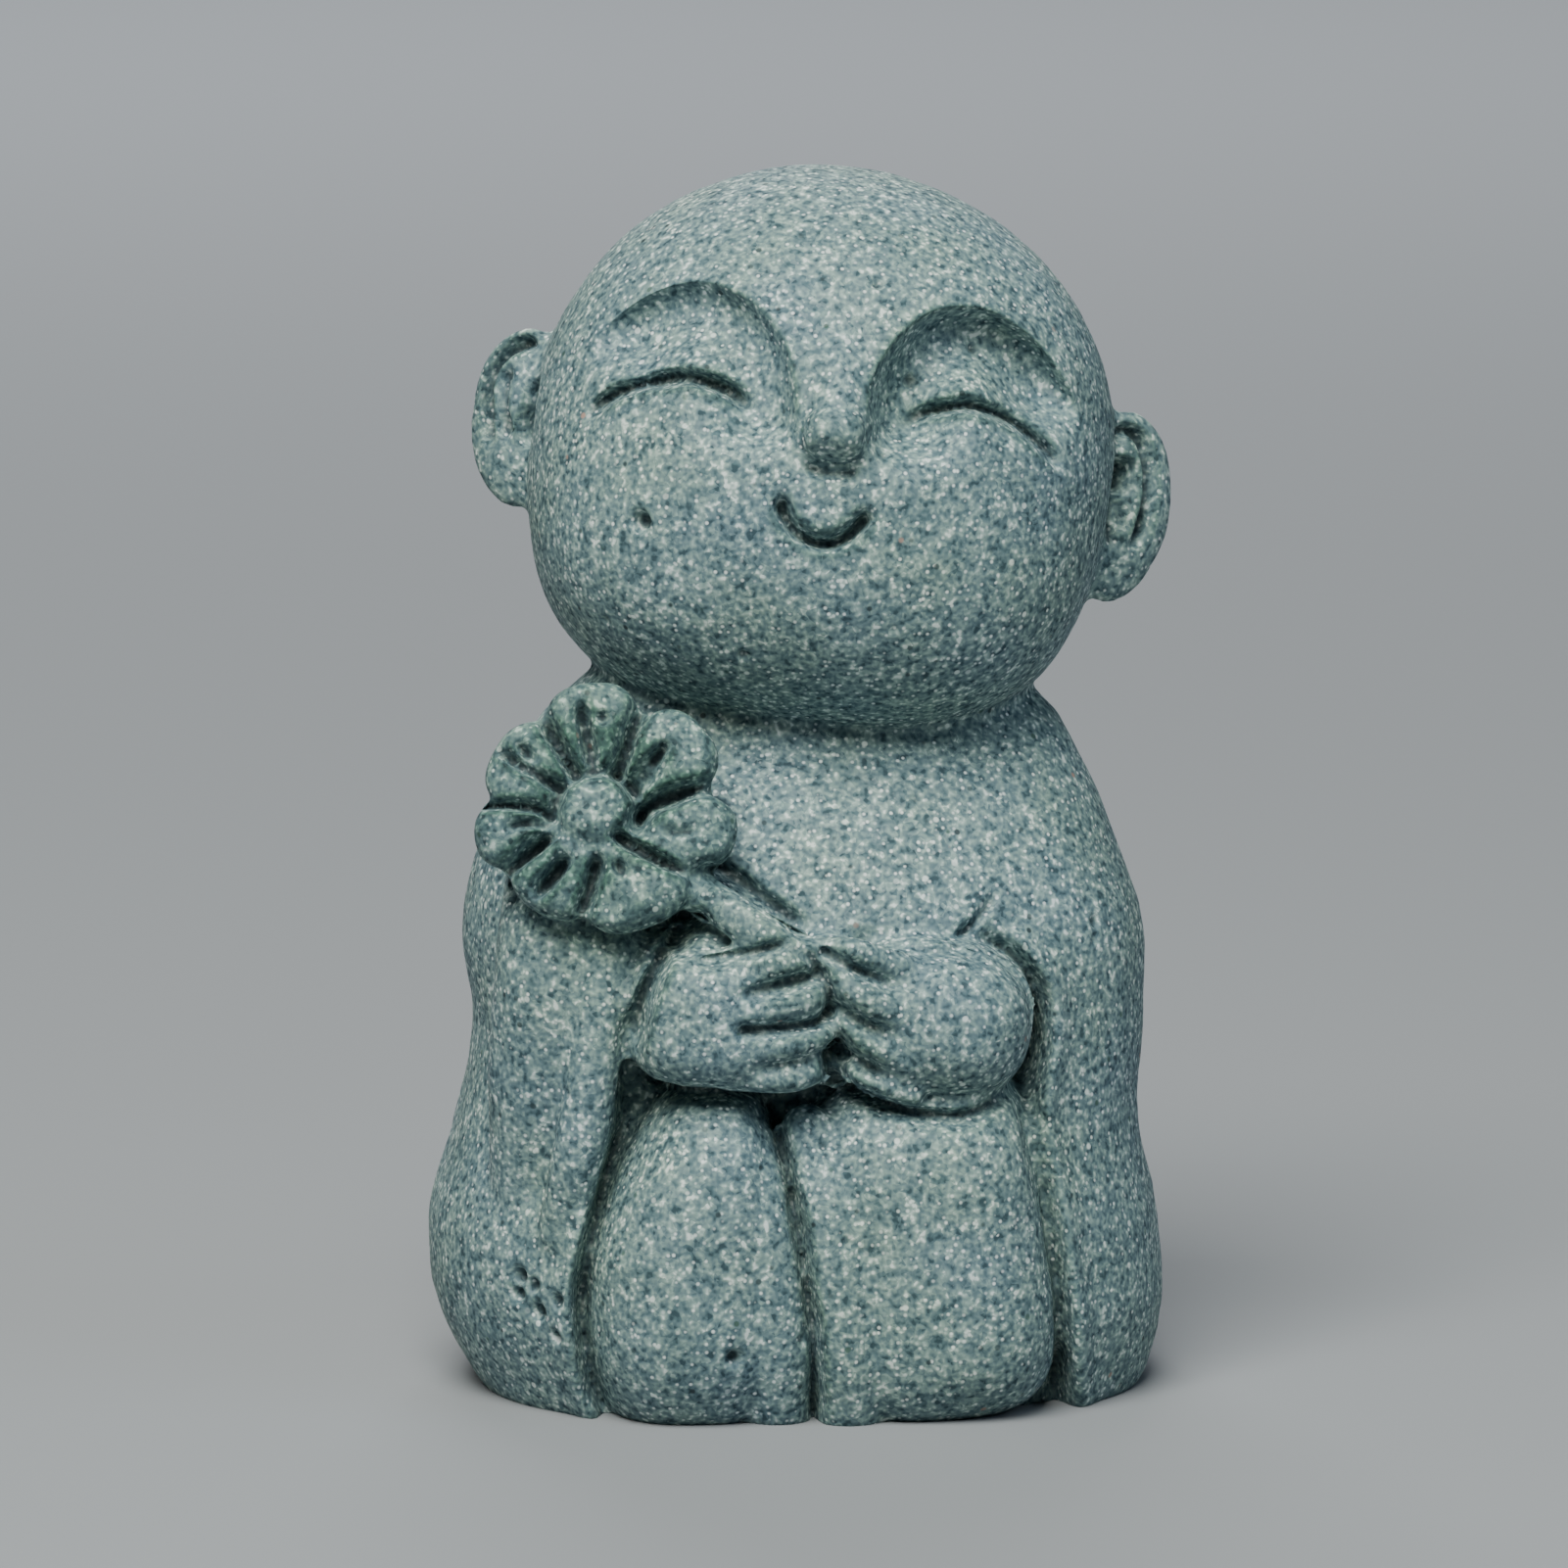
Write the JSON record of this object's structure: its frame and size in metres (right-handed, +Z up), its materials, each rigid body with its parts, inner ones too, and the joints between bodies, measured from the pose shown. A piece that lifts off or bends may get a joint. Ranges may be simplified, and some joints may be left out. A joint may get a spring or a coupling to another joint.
{
  "type": "garden statue",
  "caption": "Small cast-stone garden statue: a smiling round-headed child monk in a robe, seated on the heels and holding a daisy by its stem.",
  "frame": {"origin": "on the flat underside of the base, below the middle of the robe", "axes": "+Z up through the head, -Y out of the face, +X to the viewer's right, which is the figure's left"},
  "size_m": [0.052, 0.0437, 0.0846],
  "materials": {
    "cast_stone": "matt, sandy, green-grey with pale and dark grains"
  },
  "bodies": {
    "root": {"monk_statue": "cast_stone"}
  },
  "joints": []
}
